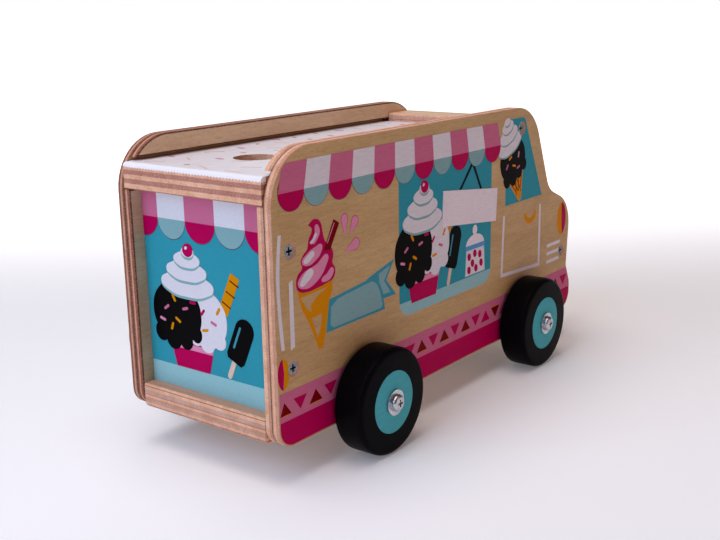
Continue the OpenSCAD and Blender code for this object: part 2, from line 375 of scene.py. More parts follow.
def makeLidEdge(low, high):
    # the lid's plies, with the lacquer wrapped a little way down the rear end to a saw-marked line
    material = makePlyEdge("lidPlyEdge", "z", low.z / mm, lidPlies)
    tree = material.node_tree
    teeth = addNode(tree, "Math", {1: lidWrap["tooth"] * mm}, {0: alongAxis(tree, "Y")},
                    operation="PINGPONG")
    ripple = stretchedNoise(tree, [5, 5, 60], 2)
    wander = addNode(tree, "Math", {1: lidWrap["ripple"] * mm}, {0: ripple, 2: teeth.outputs[0]},
                     operation="MULTIPLY_ADD")
    edge = addNode(tree, "Math", {1: 0.6, 2: high.z - lidWrap["drop"] * mm},
                   {0: wander.outputs[0]}, operation="MULTIPLY_ADD")
    painted = addNode(tree, "Math", links={0: alongAxis(tree, "Z"), 1: edge.outputs[0]},
                      operation="GREATER_THAN")
    outside = addNode(tree, "Math", {1: low.x + lidWrap["reach"] * mm}, {0: alongAxis(tree, "X")},
                      operation="LESS_THAN")
    both = addNode(tree, "Math", links={0: painted.outputs[0], 1: outside.outputs[0]},
                   operation="MULTIPLY")
    paintOver(material, lidWrap["colour"], both.outputs[0])
    return material


def makeWheelPaint():
    # dipped black satin paint on turned beech: small pits and a little dust
    material, tree = newMaterial("blackWheelPaint", 0.3, 0.025)
    dust = stretchedNoise(tree, [0.45, 0.45, 0.45], 2)
    cloud = stretchedNoise(tree, [6, 6, 6], 3)
    colour = addNode(tree, "ValToRGB", links={"Fac": dust},
                     stops=[(0.0, "060507"), (0.7, "08070a"), (0.78, "3a3a40")])
    gloss = addNode(tree, "MapRange", {"To Min": 0.3, "To Max": 0.5}, {"Value": cloud})
    tree.links.new(gloss.outputs[0], tree.nodes["Principled BSDF"].inputs["Roughness"])
    dress(material, colour.outputs["Color"], dust, 0.06, 0.4)
    return material


def makeZinc(name, roughness, dull="a9abb0", bright="d9dadd"):
    # bright zinc plate on steel: a soft grey mirror with fine tumbling marks
    material, tree = newMaterial(name, roughness, 0.5, Metallic=1.0)
    marks = stretchedNoise(tree, [0.9, 0.9, 0.9], 3)
    colour = addNode(tree, "ValToRGB", links={"Fac": marks}, stops=[(0.3, dull), (0.7, bright)])
    dress(material, colour.outputs["Color"], marks, 0.04, 0.4)
    return material


def paintRecessShade(material, depth):
    # painted shade in the cross of a sunk head: everything closer to the middle than depth goes nearly
    # black
    tree = material.node_tree
    out = addNode(tree, "Math", links={0: alongAxis(tree, "Y")}, operation="ABSOLUTE")
    deep = addNode(tree, "Math", {1: depth}, {0: out.outputs[0]}, operation="LESS_THAN")
    paintOver(material, "16140f", deep.outputs[0])


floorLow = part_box("floor_board")[0]
lidLow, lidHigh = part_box("sliding_roof")
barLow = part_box("roof_crossbar")[0]
rearLow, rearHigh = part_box("rear_board")
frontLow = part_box("front_board")[0]
panelLow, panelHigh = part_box("left_side_panel")
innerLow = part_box("left_inner_panel")[0]

birchFace = makeBirchFace("birchFace")
birchAcross = makeBirchFace("birchFaceAcross", "y")
birchUpright = makeBirchFace("birchFaceUpright", "z")
# painted light: the inner faces get the paler inner birch tone, then painted shade below the lid top
birchInnerPaintedLightAndShade = makeBirchFace("birchInnerFacePaintedLightAndShade", "x", "inner")
# painted shade on the inner faces below the lid top
paintShadeBelow(birchInnerPaintedLightAndShade, lidHigh.z - 2 * mm, lidHigh.z + 1 * mm, birch["paintedBoxShade"])
birchFloor = makeBirchFace("birchFloorFace", "y", "floor")
birchCrossbar = makeBirchFace("birchCrossbarFace", "y", "crossbar")
sheetEdges = {
    side: makePlyEdge(name, "y", innerLow.y / mm, layers, mirrored=True)
    for side, name, layers in (("right", "sheetPlyEdge", innerSheet + outerSheet),
                               ("left", "darkSheetPlyEdge", darkInnerSheet + darkOuterSheet))
}
floorEdge = makePlyEdge("floorPlyEdge", "z", floorLow.z / mm, boardPlies)
barEdge = makePlyEdge("crossbarPlyEdge", "z", barLow.z / mm, boardPlies[:-1])
rearEdge = makePlyEdge("rearBoardPlyEdge", "x", rearLow.x / mm, boardPlies[:6])
frontEdge = makePlyEdge("frontBoardPlyEdge", "x", frontLow.x / mm, boardPlies[:6])
lidPaint = makeLidPaint()
lidEdge = makeLidEdge(lidLow, lidHigh)
inks = {name: makeInk(name + "Ink", colour) for name, colour in inkColours.items()}
wheelPaint = makeWheelPaint()
screwZinc = makeZinc("zincScrew", 0.3)
sunkZinc = makeZinc("dullZincScrew", 0.38, "6c7073", "a2a5a6")
# painted shade in the cross recesses of the panel screws
paintRecessShade(sunkZinc, panelHigh.y - 0.9 * mm)
washerZinc = makeZinc("zincWasher", 0.26)
print("materials made")


# boards

arris = {"sheet": 0.7, "board": 0.9, "lid": 1.3, "lidCorner": 2.6, "steps": 3, "nearScrew": 5.0,  # mm
          "angle": 0.7}  # radians: a blunter edge is left alone


def screwPlaces():
    # the middle of each screw hole through the sides, as (x, z)
    places = []
    for name in ("left_panel_screws", "rear_left_wheel_screw", "front_left_wheel_screw"):
        bm = bmesh.new()
        bm.from_mesh(cad[name].data)
        bmesh.ops.remove_doubles(bm, verts=bm.verts, dist=0.001 * mm)
        tips = sorted(bm.verts, key=lambda vert: vert.co.y)[:4 if "panel" in name else 1]
        places += [(tip.co.x, tip.co.z) for tip in tips]
        bm.free()
    return places


screwAxes = screwPlaces()


def finish(name, bm, materials, body, smooth=35):
    data = meshFrom(name, bm)
    for material in materials:
        data.materials.append(material)
    data.shade_smooth()
    data.set_sharp_from_angle(angle=math.radians(smooth))
    piece = addObject(name, data)
    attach(piece, body)
    return piece


def cadCopy(node):
    bm = bmesh.new()
    bm.from_mesh(cad[node].data)
    bmesh.ops.remove_doubles(bm, verts=bm.verts, dist=0.002 * mm)
    bmesh.ops.dissolve_limit(bm, angle_limit=math.radians(0.5), verts=bm.verts, edges=bm.edges)
    return bm


def nearScrew(point):
    return any(math.hypot(point.x - x, point.z - z) < arris["nearScrew"] * mm for x, z in screwAxes)


def easeArrises(bm, width, keep=lambda point: True):
    # round the sharp outer edges of a board a little, as sandpaper does
    edges = []
    for edge in bm.edges:
        middle = (edge.verts[0].co + edge.verts[1].co) / 2
        sharpEdge = abs(edge.calc_face_angle_signed(0)) > arris["angle"]
        if sharpEdge and not nearScrew(middle) and keep(middle):
            edges.append(edge)
    bmesh.ops.bevel(bm, geom=edges, offset=width * mm, affect="EDGES", segments=arris["steps"], profile=0.5,
                    material=-1, clamp_overlap=True)


def makeBoard(node, width, faceMaterial, edgeMaterial, axis, body="truck_body",
              keep=lambda point: True, corners=0):
    bm = cadCopy(node)
    if corners:
        low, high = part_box(node)
        easeArrises(bm, corners, lambda point: keep(point) and abs(point.z - (low.z + high.z) / 2) < 1 * mm)
    easeArrises(bm, width, keep)
    for face in bm.faces:
        face.material_index = 0 if abs(face.normal["xyz".index(axis)]) > 0.995 else 1
    piece = finish(node + "_wood", bm, [faceMaterial, edgeMaterial], body)
    weights = piece.modifiers.new("flatFaces", "WEIGHTED_NORMAL")
    weights.keep_sharp = True
    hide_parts(node)
    return piece


def makeBoards():
    for side in sides:
        # the two glued sheets of a side are eased on their outer arrises only
        makeBoard(side + "_side_panel", arris["sheet"], birchFace, sheetEdges[side], "y",
                  keep=lambda point: abs(point.y) > panelHigh.y - 0.1 * mm)
        makeBoard(side + "_inner_panel", arris["sheet"], birchInnerPaintedLightAndShade, sheetEdges[side], "y",
                  keep=lambda point: abs(point.y) < innerLow.y + 0.1 * mm)
    makeBoard("floor_board", arris["board"], birchFloor, floorEdge, "z")
    makeBoard("rear_board", arris["board"], birchUpright, rearEdge, "x")
    makeBoard("front_board", arris["board"], birchAcross, frontEdge, "x")
    makeBoard("roof_crossbar", arris["board"], birchCrossbar, barEdge, "z")
    makeBoard("sliding_roof", arris["lid"], lidPaint, lidEdge, "z", "roof_slide",
              keep=lambda point: point.x < lidLow.x + 3 * mm, corners=arris["lidCorner"])


makeBoards()
print("boards made")


# printed shapes: each is drawn flat in millimetres, x to the right and z up, then laid on its board

# mm, except for curve, the steps along each bend
ink = {"sunk": 0.02, "layer": 0.025, "step": 0.003, "curve": 7, "margin": 0.75, "screwHole": 3.75}


def sharp(points):
    return [(x, z, True) for x, z in points]


def arc(x, z, radius, start, end, steps=8, squash=1.0):
    angles = [math.radians(start + (end - start) * i / steps) for i in range(steps + 1)]
    return [(x + radius * math.cos(angle), z + radius * squash * math.sin(angle)) for angle in angles]


def oval(x, z, across, up, turn=0.0):
    c, s = math.cos(math.radians(turn)), math.sin(math.radians(turn))
    ring = arc(0, 0, 1, 0, 315, 7)
    return [(x + across * u * c - up * v * s, z + across * u * s + up * v * c) for u, v in ring]


def strip(start, end, width):
    run = Vector(end) - Vector(start)
    aside = Vector((-run.y, run.x)).normalized() * width / 2
    first, last = Vector(start), Vector(end)
    return sharp([tuple(first + aside), tuple(last + aside), tuple(last - aside), tuple(first - aside)])


def pill(start, end, width):
    angle = math.degrees(math.atan2(end[1] - start[1], end[0] - start[0]))
    return sharp(arc(start[0], start[1], width / 2, angle + 90, angle + 270, 6)
                 + arc(end[0], end[1], width / 2, angle - 90, angle + 90, 6))


def drop(tip, middle, radius):
    angle = math.degrees(math.atan2(middle[1] - tip[1], middle[0] - tip[0]))
    return sharp([tip] + arc(middle[0], middle[1], radius, angle - 105, angle + 105, 12))


def moved(shapes, dx, dz, turn=0.0):
    c, s = math.cos(math.radians(turn)), math.sin(math.radians(turn))
    return [([[(p[0] * c - p[1] * s + dx, p[0] * s + p[1] * c + dz) + tuple(p[2:]) for p in outline]
              for outline in outlines], colour, layer) for outlines, colour, layer in shapes]


def flatSolid(outlines, height):
    data = bpy.data.curves.new("inkOutline", "CURVE")
    data.dimensions = "2D"
    data.fill_mode = "BOTH"
    data.resolution_u = ink["curve"]
    data.extrude = (height + ink["sunk"]) / 2
    for points in outlines:
        spline = data.splines.new("BEZIER")
        spline.bezier_points.add(len(points) - 1)
        spline.use_cyclic_u = True
        for knot, point in zip(spline.bezier_points, points):
            knot.co = (point[0], point[1], 0)
            knot.handle_left_type = knot.handle_right_type = "VECTOR" if len(point) > 2 else "AUTO"
    holder = addObject("inkOutline", data)
    flat = bpy.data.meshes.new_from_object(holder.evaluated_get(bpy.context.evaluated_depsgraph_get()))
    bpy.data.objects.remove(holder)
    flat.transform(Matrix.Translation((0, 0, (height - ink["sunk"]) / 2)))
    return flat


def punched(flat, holes):
    # cut the screw holes out of one flat shape
    shape = addObject("inkShape", flat)
    cutters = []
    for x, z, radius in holes:
        bm = bmesh.new()
        bmesh.ops.create_cone(bm, segments=40, radius1=radius, radius2=radius, depth=4, cap_ends=True)
        bmesh.ops.translate(bm, verts=bm.verts, vec=(x, z, 0))
        cutter = addObject("screwCut", meshFrom("screwCut", bm))
        cut = shape.modifiers.new("cut", "BOOLEAN")
        cut.object = cutter
        cutters.append(cutter)
    result = bpy.data.meshes.new_from_object(shape.evaluated_get(bpy.context.evaluated_depsgraph_get()))
    for extra in cutters + [shape]:
        bpy.data.objects.remove(extra)
    return result


def layInk(name, place, shapes, body="truck_body", holes=()):
    bm = bmesh.new()
    used = []
    for i, (outlines, colour, layer) in enumerate(shapes):
        flat = flatSolid(outlines, layer * ink["layer"] + i * ink["step"])
        if holes:
            flat = punched(flat, holes)
        part = bmesh.new()
        part.from_mesh(flat)
        bmesh.ops.remove_doubles(part, verts=part.verts, dist=0.001)
        if colour not in used:
            used.append(colour)
        for face in part.faces:
            face.material_index = used.index(colour)
        bmesh.ops.transform(part, matrix=place, verts=part.verts)
        bmesh.ops.recalc_face_normals(part, faces=part.faces)
        part.to_mesh(flat)
        part.free()
        bm.from_mesh(flat)
        bpy.data.meshes.remove(flat)
    return finish(name, bm, [inks[colour] for colour in used], body, 30)


def facePlace(origin, right, up):
    # turns flat millimetres into metres on a face; the ink's height points out of the face
    right, up = Vector(right), Vector(up)
    out = right.cross(up)
    turn = Matrix((right, up, out)).transposed().to_4x4()
    return Matrix.Translation(origin) @ turn @ Matrix.Scale(mm, 4)


def sidePlace(side):
    place = facePlace((0, -panelHigh.y, 0), (1, 0, 0), (0, 0, 1))
    return place if side == "right" else Matrix.Scale(-1, 4, (0, 1, 0)) @ place


awning = {
    "top": 138.2, "change": 126.3, "stripes": 11, "topStart": -125.7, "topPitch": 15.3,
    "lowStart": -128.8, "lowPitch": 15.9, "hang": 7.9, "rim": 0.2, "cornerRadius": 24,
}


def awningShapes():
    shapes = []
    for i in range(awning["stripes"]):
        plain = i % 2 == 0
        topLeft = awning["topStart"] + i * awning["topPitch"]
        lowLeft = awning["lowStart"] + i * awning["lowPitch"]
        middle = lowLeft + awning["lowPitch"] / 2
        lip = awning["lowPitch"] / 2
        edge = [oval(middle, awning["change"], lip + awning["rim"], awning["hang"] + awning["rim"])]
        shapes.append((edge, "rimLine", 3))
        shapes.append(([oval(middle, awning["change"], lip, awning["hang"])],
                       "magenta" if plain else "paleTeal", 4 if plain else 5))
        topRight, lowRight = topLeft + awning["topPitch"], lowLeft + awning["lowPitch"]
        outline = [(lowLeft, awning["change"]), (topLeft, awning["top"]),
                   (topRight, awning["top"]), (lowRight, awning["change"])]
        if i == 0:
            radius = awning["cornerRadius"] - ink["margin"]
            centre = panelLow.x / mm + awning["cornerRadius"], panelHigh.z / mm - awning["cornerRadius"]
            outline[1:2] = arc(centre[0], centre[1], radius, 138.5, 128.6, 3)
        shapes.append(([sharp(outline)], "mauvePink" if plain else "white", 6))
    return shapes


windowSet = {"left": -46.5, "right": 37.5, "low": 54.5, "counter": 61.3, "top": 127.0, "radius": 8}


def windowShapes():
    w = windowSet
    lowCorners = (arc(w["left"] + w["radius"], w["low"] + w["radius"], w["radius"], 180, 270)
                  + arc(w["right"] - w["radius"], w["low"] + w["radius"], w["radius"], 270, 360))
    ground = [(w["right"], w["top"]), (w["left"], w["top"])] + lowCorners
    counter = [(w["right"], w["counter"]), (w["left"], w["counter"])]
    counter += [(x, z) for x, z in lowCorners if z < w["counter"]]
    return [([sharp(ground)], "teal", 1), ([sharp(counter)], "counterTeal", 2)]


def bit(x, z, turn, size, colour, layer):
    # one sprinkle on a print, twice as long as it is wide
    dx, dz = size * math.cos(math.radians(turn)), size * math.sin(math.radians(turn))
    return [pill((x - dx, z - dz), (x + dx, z + dz), size)], colour, layer


def sundaeShapes():
    # two scoops and whipped cream in a cup: 57 mm tall, the middle of the cup's foot at 0, 0
    shapes = [([sharp([(18, 31), (23, 28.5), (31, 46), (26, 48.4)])], "orange", 5)]
    shapes += [([strip((20.2 + 2.6 * i, 35 + 5 * i), (25.2 + 2.6 * i, 32.6 + 5 * i), 0.7)], "darkRed", 5)
               for i in range(3)]
    shapes += [([sharp([(10.5, 0), (14.5, 15), (-14.5, 15), (-10.5, 0)])], "magenta", 6),
               ([sharp([(12.9, 9), (13.6, 11.6), (-13.6, 11.6), (-12.9, 9)])], "rosePink", 6)]
    pale = [(9.5, 25, 13, 13.2), (3, 15.4, 4, 3.6), (10, 13.8, 4.4, 4), (17.4, 16.2, 4, 3.8)]
    shapes += [([oval(x, z, a, b)], "white", 7) for x, z, a, b in pale]
    dark = [(-8.5, 25.5, 15.5, 14.5), (-19, 15, 4.4, 4.6), (-11.5, 12.4, 4.8, 4.8), (-3.5, 13, 4.2, 4.4),
            (3.4, 17, 3.4, 4)]
    shapes += [([oval(x, z, a, b)], "black", 8) for x, z, a, b in dark]
    cream = [(-1, 38.5, 16.5, 6), (-1, 44.6, 12.6, 5), (-0.4, 49.8, 8.2, 4), (0.4, 53.4, 4, 2.8)]
    for x, z, a, b in cream:
        shapes += [([oval(x, z, a, b)], "paleTeal", 9), ([oval(x, z + 0.8, a, b - 0.4)], "white", 9)]
    shapes += [([oval(0.6, 55, 3.2, 3)], "magenta", 10), ([oval(-0.4, 56, 0.9, 0.7, 40)], "white", 10)]
    bits = [(-15, 27, 35, "mauvePink"), (-8, 22, -30, "orange"), (-3, 28, 15, "mauvePink"),
            (-12, 18.5, 70, "orange"), (-18, 21, -15, "rosePink"), (8, 28, 50, "magenta"),
            (14.5, 24, -20, "mauvePink"), (9, 20, 10, "orange"), (17.6, 30, 60, "orange"),
            (-10, 32, -60, "orange"), (2, 31.5, 0, "magenta")]
    return shapes + [bit(x, z, turn, 1.3, colour, 10) for x, z, turn, colour in bits]


def lollyShapes():
    # a chocolate lolly, its stick's foot at 0, 0
    body = sharp(arc(0, 25, 5.4, 0, 180, 12) + [(-5.4, 10.5), (-4.2, 8.6), (4.2, 8.6), (5.4, 10.5)])
    glint = pill((-2.6, 15), (-2.6, 25), 1.1)
    return [([pill((0, 1), (0, 10), 2.6)], "beige", 5), ([body], "black", 6), ([glint], "deepTeal", 7)]


def signShapes():
    board = sharp([(-9, 110), (43.3, 104), (42, 86.5), (-10, 92.3)])
    cords = [strip((18.5, 120.5), (6, 107.5), 1.7), strip((18.5, 120.5), (27.5, 105), 1.7)]
    return [([cord], "black", 2.5) for cord in cords] + [([board], "signWhite", 15)]


def jarShapes():
    sweets = [(15.7, 71.8), (21.3, 72.8), (26.3, 71.6), (19, 68), (27.6, 66.8), (15.6, 64.8), (22.5, 64.8)]
    dome = sharp([(30.5, 77.5)] + arc(21.5, 77.5, 9, 8, 172, 12, 0.62) + [(12.6, 77.5)])
    return [([sharp([(12, 62), (31.5, 62), (30.5, 75.5), (13, 75.5)])], "white", 3),
            ([sharp([(12.4, 75.3), (31, 75.3), (31, 77.8), (12.4, 77.8)])], "skyBlue", 4),
            ([dome], "signWhite", 3), ([oval(21.2, 85.4, 2.2, 2.5)], "signWhite", 3)] + [
            ([oval(x, z, 1.7, 2.1, 20)], "magenta", 4) for x, z in sweets]


def softServeShapes():
    cream = [(-111, 110.7), (-107.4, 112.8), (-103.3, 111.2), (-101.6, 106.2), (-100.4, 102.6),
             (-96, 98.5), (-94.9, 95.3), (-95.7, 92.2), (-93.9, 88.9), (-95.1, 85.3), (-99.6, 83.9),
             (-106, 83.1), (-113.3, 82.8), (-118.3, 84.4), (-119.6, 87.5), (-118.3, 91.2), (-115.5, 93.5),
             (-116.3, 96.2), (-114.6, 98.9), (-112.2, 100.7), (-110.8, 105), (-108.6, 108.6), (-109.6, 110)]
    cream[0] += (True,)
    folds = [[(-106, 110.3), (-103.7, 108), (-104.6, 104.8), (-108.7, 102.7), (-106.9, 106.2)],
             [(-102.6, 101.2), (-102.8, 98.4), (-106.9, 95.1), (-112.4, 93.9), (-115.6, 95.9),
              (-112.4, 98.9), (-106.9, 100.9)],
             [(-98.7, 96), (-100.1, 91.6), (-106.9, 85.7), (-115.1, 84.6), (-118.5, 87.1), (-116.9, 90),
              (-106, 93.5)],
             [(-95.5, 89.8), (-96, 86.4), (-101.5, 84.7), (-103.2, 85.6), (-99.6, 88)]]
    glints = [[(-105.9, 106.8), (-107.2, 103.9), (-110, 103), (-108.4, 104.6)],
              [(-107.6, 98.9), (-109.6, 96.2), (-114.4, 95.6), (-112.6, 97.8)],
              [(-108.7, 91.5), (-112.4, 87), (-116.9, 86.3), (-116.3, 88.6)]]
    cone = [sharp([(-118.9, 84), (-95.8, 85), (-96, 80.7), (-98.5, 75.3), (-101, 63.5), (-103.3, 56.2),
                   (-106, 55.7), (-111.5, 68), (-116.5, 76.2)]),
            sharp([(-117.2, 81.2), (-99.8, 82), (-106.9, 79.2), (-110.6, 76.4), (-110.5, 73.5),
                   (-113.8, 76.2)]),
            sharp([(-110.3, 70.7), (-103.4, 71.2), (-104.6, 65.8), (-106.6, 60.8)])]
    stick = sharp([(-94.3, 110.6), (-90.6, 108.4), (-97, 98), (-101.2, 98.3)])
    return [([cone[0]] + cone[1:], "orange", 1), ([cream], "magenta", 2)] + [
            ([fold], "rosePink", 3) for fold in folds] + [([glint], "white", 4) for glint in glints] + [
            ([stick], "darkRed", 5), ([strip((-94, 109), (-99, 101), 0.5)], "rosePink", 6)]


def dropShapes():
    drops = [((-86.5, 101.2), (-86.9, 109.4), 2.2), ((-83.3, 101.2), (-79.6, 107.2), 2.3),
             ((-87.8, 94.5), (-79.3, 97.2), 2.5)]
    return ([([drop(tip, middle, radius + 0.3)], "magenta", 1) for tip, middle, radius in drops]
            + [([drop(tip, middle, radius)], "rosePink", 2) for tip, middle, radius in drops])


def bannerShapes():
    outline = sharp([(-98.5, 76.2), (-72.4, 78.7), (-70.5, 79.6), (-50.4, 84.6), (-56.9, 75.7),
                     (-49.2, 67.3), (-59.2, 67.3), (-58.1, 62.1), (-101, 61.8)])
    body = [(-97.4, 72.5, True), (-92.4, 75.3, True), (-67.8, 77.5, True), (-64.2, 75.3),
            (-59.8, 64.8, True), (-61, 63.3, True), (-96, 63, True), (-98, 64.8, True)]
    tail = sharp([(-62.4, 79.8), (-53.7, 82.1), (-58.7, 75.7), (-53.7, 69.4), (-59.2, 69.4), (-62.4, 76.2)])
    return [([outline], "deepTeal", 1), ([body], "paleTeal", 2), ([tail], "paleTeal", 2)]


def rearLineShapes():
    bend = [(-128.7, 109.8), (-130.2, 98), (-130.6, 88), (-130, 74), (-128.9, 61.6)]
    line = [(x - 1, z) for x, z in bend] + [(x + 1, z) for x, z in reversed(bend)]
    for i in (0, len(bend) - 1, len(bend), len(line) - 1):
        line[i] += (True,)
    return [([line], "white", 1),
            ([sharp([(-124, 89.1), (-121.7, 90), (-121.5, 61.1), (-124.2, 60.4)])], "white", 1)]


def rearLampShapes():
    lens = sharp(arc(-129.3, 51.2, 3.5, 90, 270, 10, 1.95)
                 + [(-129.6, 44.6), (-128.9, 51.2), (-129.6, 57.8)])
    return [([oval(-129.3, 51.2, 3.5, 6.8)], "orange", 1), ([lens], "magenta", 2)]


def cabWindowShapes():
    glass = sharp([(52.5, 92.6), (52.8, 138.7), (71, 138.7), (73, 137.5), (94, 92.8)])
    return [([glass], "teal", 1)]


def cabConeShapes():
    # a short dipped cone, its tip at 0, 0 and standing up along z
    wafer = sharp([(-1.6, 0.5), (0, 0), (1.6, 0.5), (9, 17), (-9, 17)])
    rows = [strip((-8 + 4 * i, 16.5), (-2.6 + 2.6 * i, 7 - 1.2 * i), 0.6) for i in range(3)]
    rows += [strip((8 - 4 * i, 16.5), (2.6 - 2.6 * i, 7 - 1.2 * i), 0.6) for i in range(3)]
    shapes = [([wafer], "orange", 3)] + [([row], "darkRed", 3) for row in rows]
    dip = [(0, 25, 13.6, 11.6), (-9.4, 17, 3.6, 4.2), (-3, 15.6, 3.8, 4.6), (3.8, 16.4, 3.6, 4.2),
           (9.8, 17.8, 3.2, 3.6)]
    shapes += [([oval(x, z, a, b)], "black", 4) for x, z, a, b in dip]
    cream = [(-0.4, 33.6, 12.6, 5.2), (0, 38.8, 9.6, 4.4), (0.4, 43.2, 6, 3.4), (0.8, 46, 3, 2.2)]
    for x, z, a, b in cream:
        shapes += [([oval(x, z, a, b)], "paleTeal", 5), ([oval(x, z + 0.7, a, b - 0.3)], "white", 5)]
    bits = [(-7, 24, 35, "mauvePink"), (0, 21.4, -30, "orange"), (6.4, 25, 60, "rosePink"),
            (-2.4, 27, 10, "orange"), (4, 18.6, 0, "mauvePink")]
    return shapes + [bit(x, z, turn, 1.2, colour, 6) for x, z, turn, colour in bits]


def doorShapes():
    handle = (arc(80.8, 85.8, 7.5, 190, 350, 14) + arc(80.8, 86.6, 5.2, 345, 195, 14))
    return [([strip((51.4, 87.5), (49.6, 54), 2)], "white", 1),
            ([strip((48.7, 54.6), (93.4, 52.2), 2)], "white", 1),
            ([strip((92.5, 52.6), (92.4, 87.6), 2.1)], "white", 1), ([sharp(handle)], "orange", 1)]


def headlampShapes():
    lens = sharp(arc(120, 74.5, 5.4, -90, 90, 12, 1.75) + [(121, 84), (120.1, 74.5), (121, 65)])
    return [([oval(120, 74.5, 5.6, 9.7)], "orange", 1), ([lens], "magenta", 2)]


def grilleShapes():
    ends = ((61, 118), (56.2, 118), (51.3, 117))
    return [([pill((103, z), (reach, z), 2)], "white", 1) for z, reach in ends]


skirt = {
    "top": 43.2, "change": 30.4,
    "halfWidth": 4.3, "pitch": 20.3, "first": -129.5, "low": 33.2, "apex": 38.9, "rim": 0.35, "count": 13,
}


def triangle(x, base, tip):
    left = panelLow.x / mm + ink["margin"]
    return sharp([(max(x - skirt["halfWidth"], left), base), (x + skirt["halfWidth"], base), (x, tip)])


def bandTriangleShapes():
    # dark triangles stand between magenta ones on their tips, and the other way up behind the front wheel
    shapes = []
    low, apex, rim = skirt["low"], skirt["apex"], skirt["rim"]
    for i in range(skirt["count"]):
        x = skirt["first"] + i * skirt["pitch"]
        between = x + skirt["pitch"] / 2
        if 8 <= i < 11:
            shapes += [([triangle(x, low, apex)], "magenta", 4),
                       ([triangle(between, apex + rim, low)], "orange", 3),
                       ([triangle(between, apex, low)], "darkRed", 4)]
        else:
            shapes += [([triangle(x, low - rim, apex)], "orange", 3),
                       ([triangle(x, low, apex)], "darkRed", 4),
                       ([triangle(between, apex, low)], "magenta", 4)]
    return shapes


def makeSkirt(side):
    # the two bands follow the panel's own outline, just inside its eased arris
    for name, colour, layer, low, high in (("band", "mauvePink", 2, skirt["change"], skirt["top"]),
                                           ("hem", "magenta", 2, 0, skirt["change"])):
        bm = cadCopy(side + "_side_panel")
        out = sides[side]
        others = [face for face in bm.faces if face.normal.y * out < 0.99]
        bmesh.ops.delete(bm, geom=others, context="FACES")
        rim = bmesh.ops.inset_region(bm, faces=bm.faces, thickness=ink["margin"] * mm, use_even_offset=True,
                                     use_boundary=True)
        bmesh.ops.delete(bm, geom=rim["faces"], context="FACES")
        for height, clearUp in ((low, False), (high, True)):
            bmesh.ops.bisect_plane(bm, geom=bm.verts[:] + bm.edges[:] + bm.faces[:],
                                   plane_co=(0, 0, height * mm), plane_no=(0, 0, 1),
                                   clear_outer=clearUp, clear_inner=not clearUp)
        bmesh.ops.translate(bm, verts=bm.verts, vec=(0, -out * ink["sunk"] * mm, 0))
        grown = bmesh.ops.extrude_face_region(bm, geom=bm.faces[:])
        lifted = [item for item in grown["geom"] if isinstance(item, bmesh.types.BMVert)]
        bmesh.ops.translate(bm, verts=lifted, vec=(0, out * (ink["sunk"] + layer * ink["layer"]) * mm, 0))
        bmesh.ops.recalc_face_normals(bm, faces=bm.faces)
        finish(side + "_skirt_" + name, bm, [inks[colour]], "truck_body", 30)


def makeSideArt():
    holes = [(x / mm, z / mm, ink["screwHole"]) for x, z in screwAxes[:4]]
    art = {
        "awning": awningShapes(), "serving_window": windowShapes(),
        "window_sundae": moved(sundaeShapes(), -26, 59.6),
        "window_lolly": moved(lollyShapes(), -4.5, 61.5, -16),
        "hanging_sign": signShapes(), "sweet_jar": jarShapes(), "soft_serve": softServeShapes(),
        "sauce_drops": dropShapes(), "ribbon_banner": bannerShapes(), "rear_lines": rearLineShapes(),
        "door_lines": doorShapes(), "headlamp": headlampShapes(), "band_triangles": bandTriangleShapes(),
    }
    punchedArt = {"rear_lamp": rearLampShapes(), "cab_window": cabWindowShapes(),
                  "cab_cone": moved(cabConeShapes(), 68.4, 93.4, 20), "grille_bars": grilleShapes()}
    for side in sides:
        place = sidePlace(side)
        for name, shapes in art.items():
            layInk(side + "_" + name, place, shapes)
        for name, shapes in punchedArt.items():
            layInk(side + "_" + name, place, shapes, holes=holes)
        makeSkirt(side)


makeSideArt()
print("side prints made")


rearSet = {"paleTop": 41.2, "awningChange": 109, "hang": 8.9, "endScallop": 9, "rim": 0.2,
           "edges": (-38, -27.9, -10.6, 7.5, 25.1, 38)}


def makeRearArt():
    place = facePlace((rearLow.x, 0, 0), (0, -1, 0), (0, 0, 1))
    low, top = rearLow.z / mm, rearHigh.z / mm
    side = rearHigh.y / mm - 0.3
    paleTop, change = rearSet["paleTop"], rearSet["awningChange"]
    shapes = [([sharp([(-side, low), (side, low), (side, top), (-side, top)])], "teal", 1),
              ([sharp([(-side, low), (side, low), (side, paleTop), (-side, paleTop)])], "counterTeal", 2)]
    edges = rearSet["edges"]
    for i in range(len(edges) - 1):
        plain = i % 2 == 0
        left, right = edges[i], edges[i + 1]
        middle, half = (left + right) / 2, (right - left) / 2
        if i == 0:
            middle, half = right - rearSet["endScallop"], rearSet["endScallop"]
        if i == len(edges) - 2:
            middle, half = left + rearSet["endScallop"], rearSet["endScallop"]
        fill = "magenta" if plain else "paleTeal"
        for grow, colour, layer in ((rearSet["rim"], "rimLine", 3), (0, fill, 5 - plain)):
            rim = arc(middle, change, half + grow, 180, 360, 16, (rearSet["hang"] + grow) / half)
            rim = [(min(max(x, -side), side), z) for x, z in rim]
            shapes.append(([sharp(rim)], colour, layer))
        left, right = max(left, -side), min(right, side)
        stripe = sharp([(left, change), (right, change), (right, top), (left, top)])
        shapes.append(([stripe], "mauvePink" if plain else "white", 6))
    shapes += moved(sundaeShapes(), -10.5, 41.2)
    shapes += moved(lollyShapes(), 12, 42, -24)
    layInk("rear_board_print", place, shapes)


makeRearArt()
print("rear print made")


# the front doesn't show, so its prints are a plain guess in the style of the sides
frontSet = {"glassEdge": 4, "glassRadius": 6, "barWidth": 40, "barDrop": (28, 23.2, 18.4), "lampAside": 28,
            "lampDrop": 12, "lampSize": 5.5}


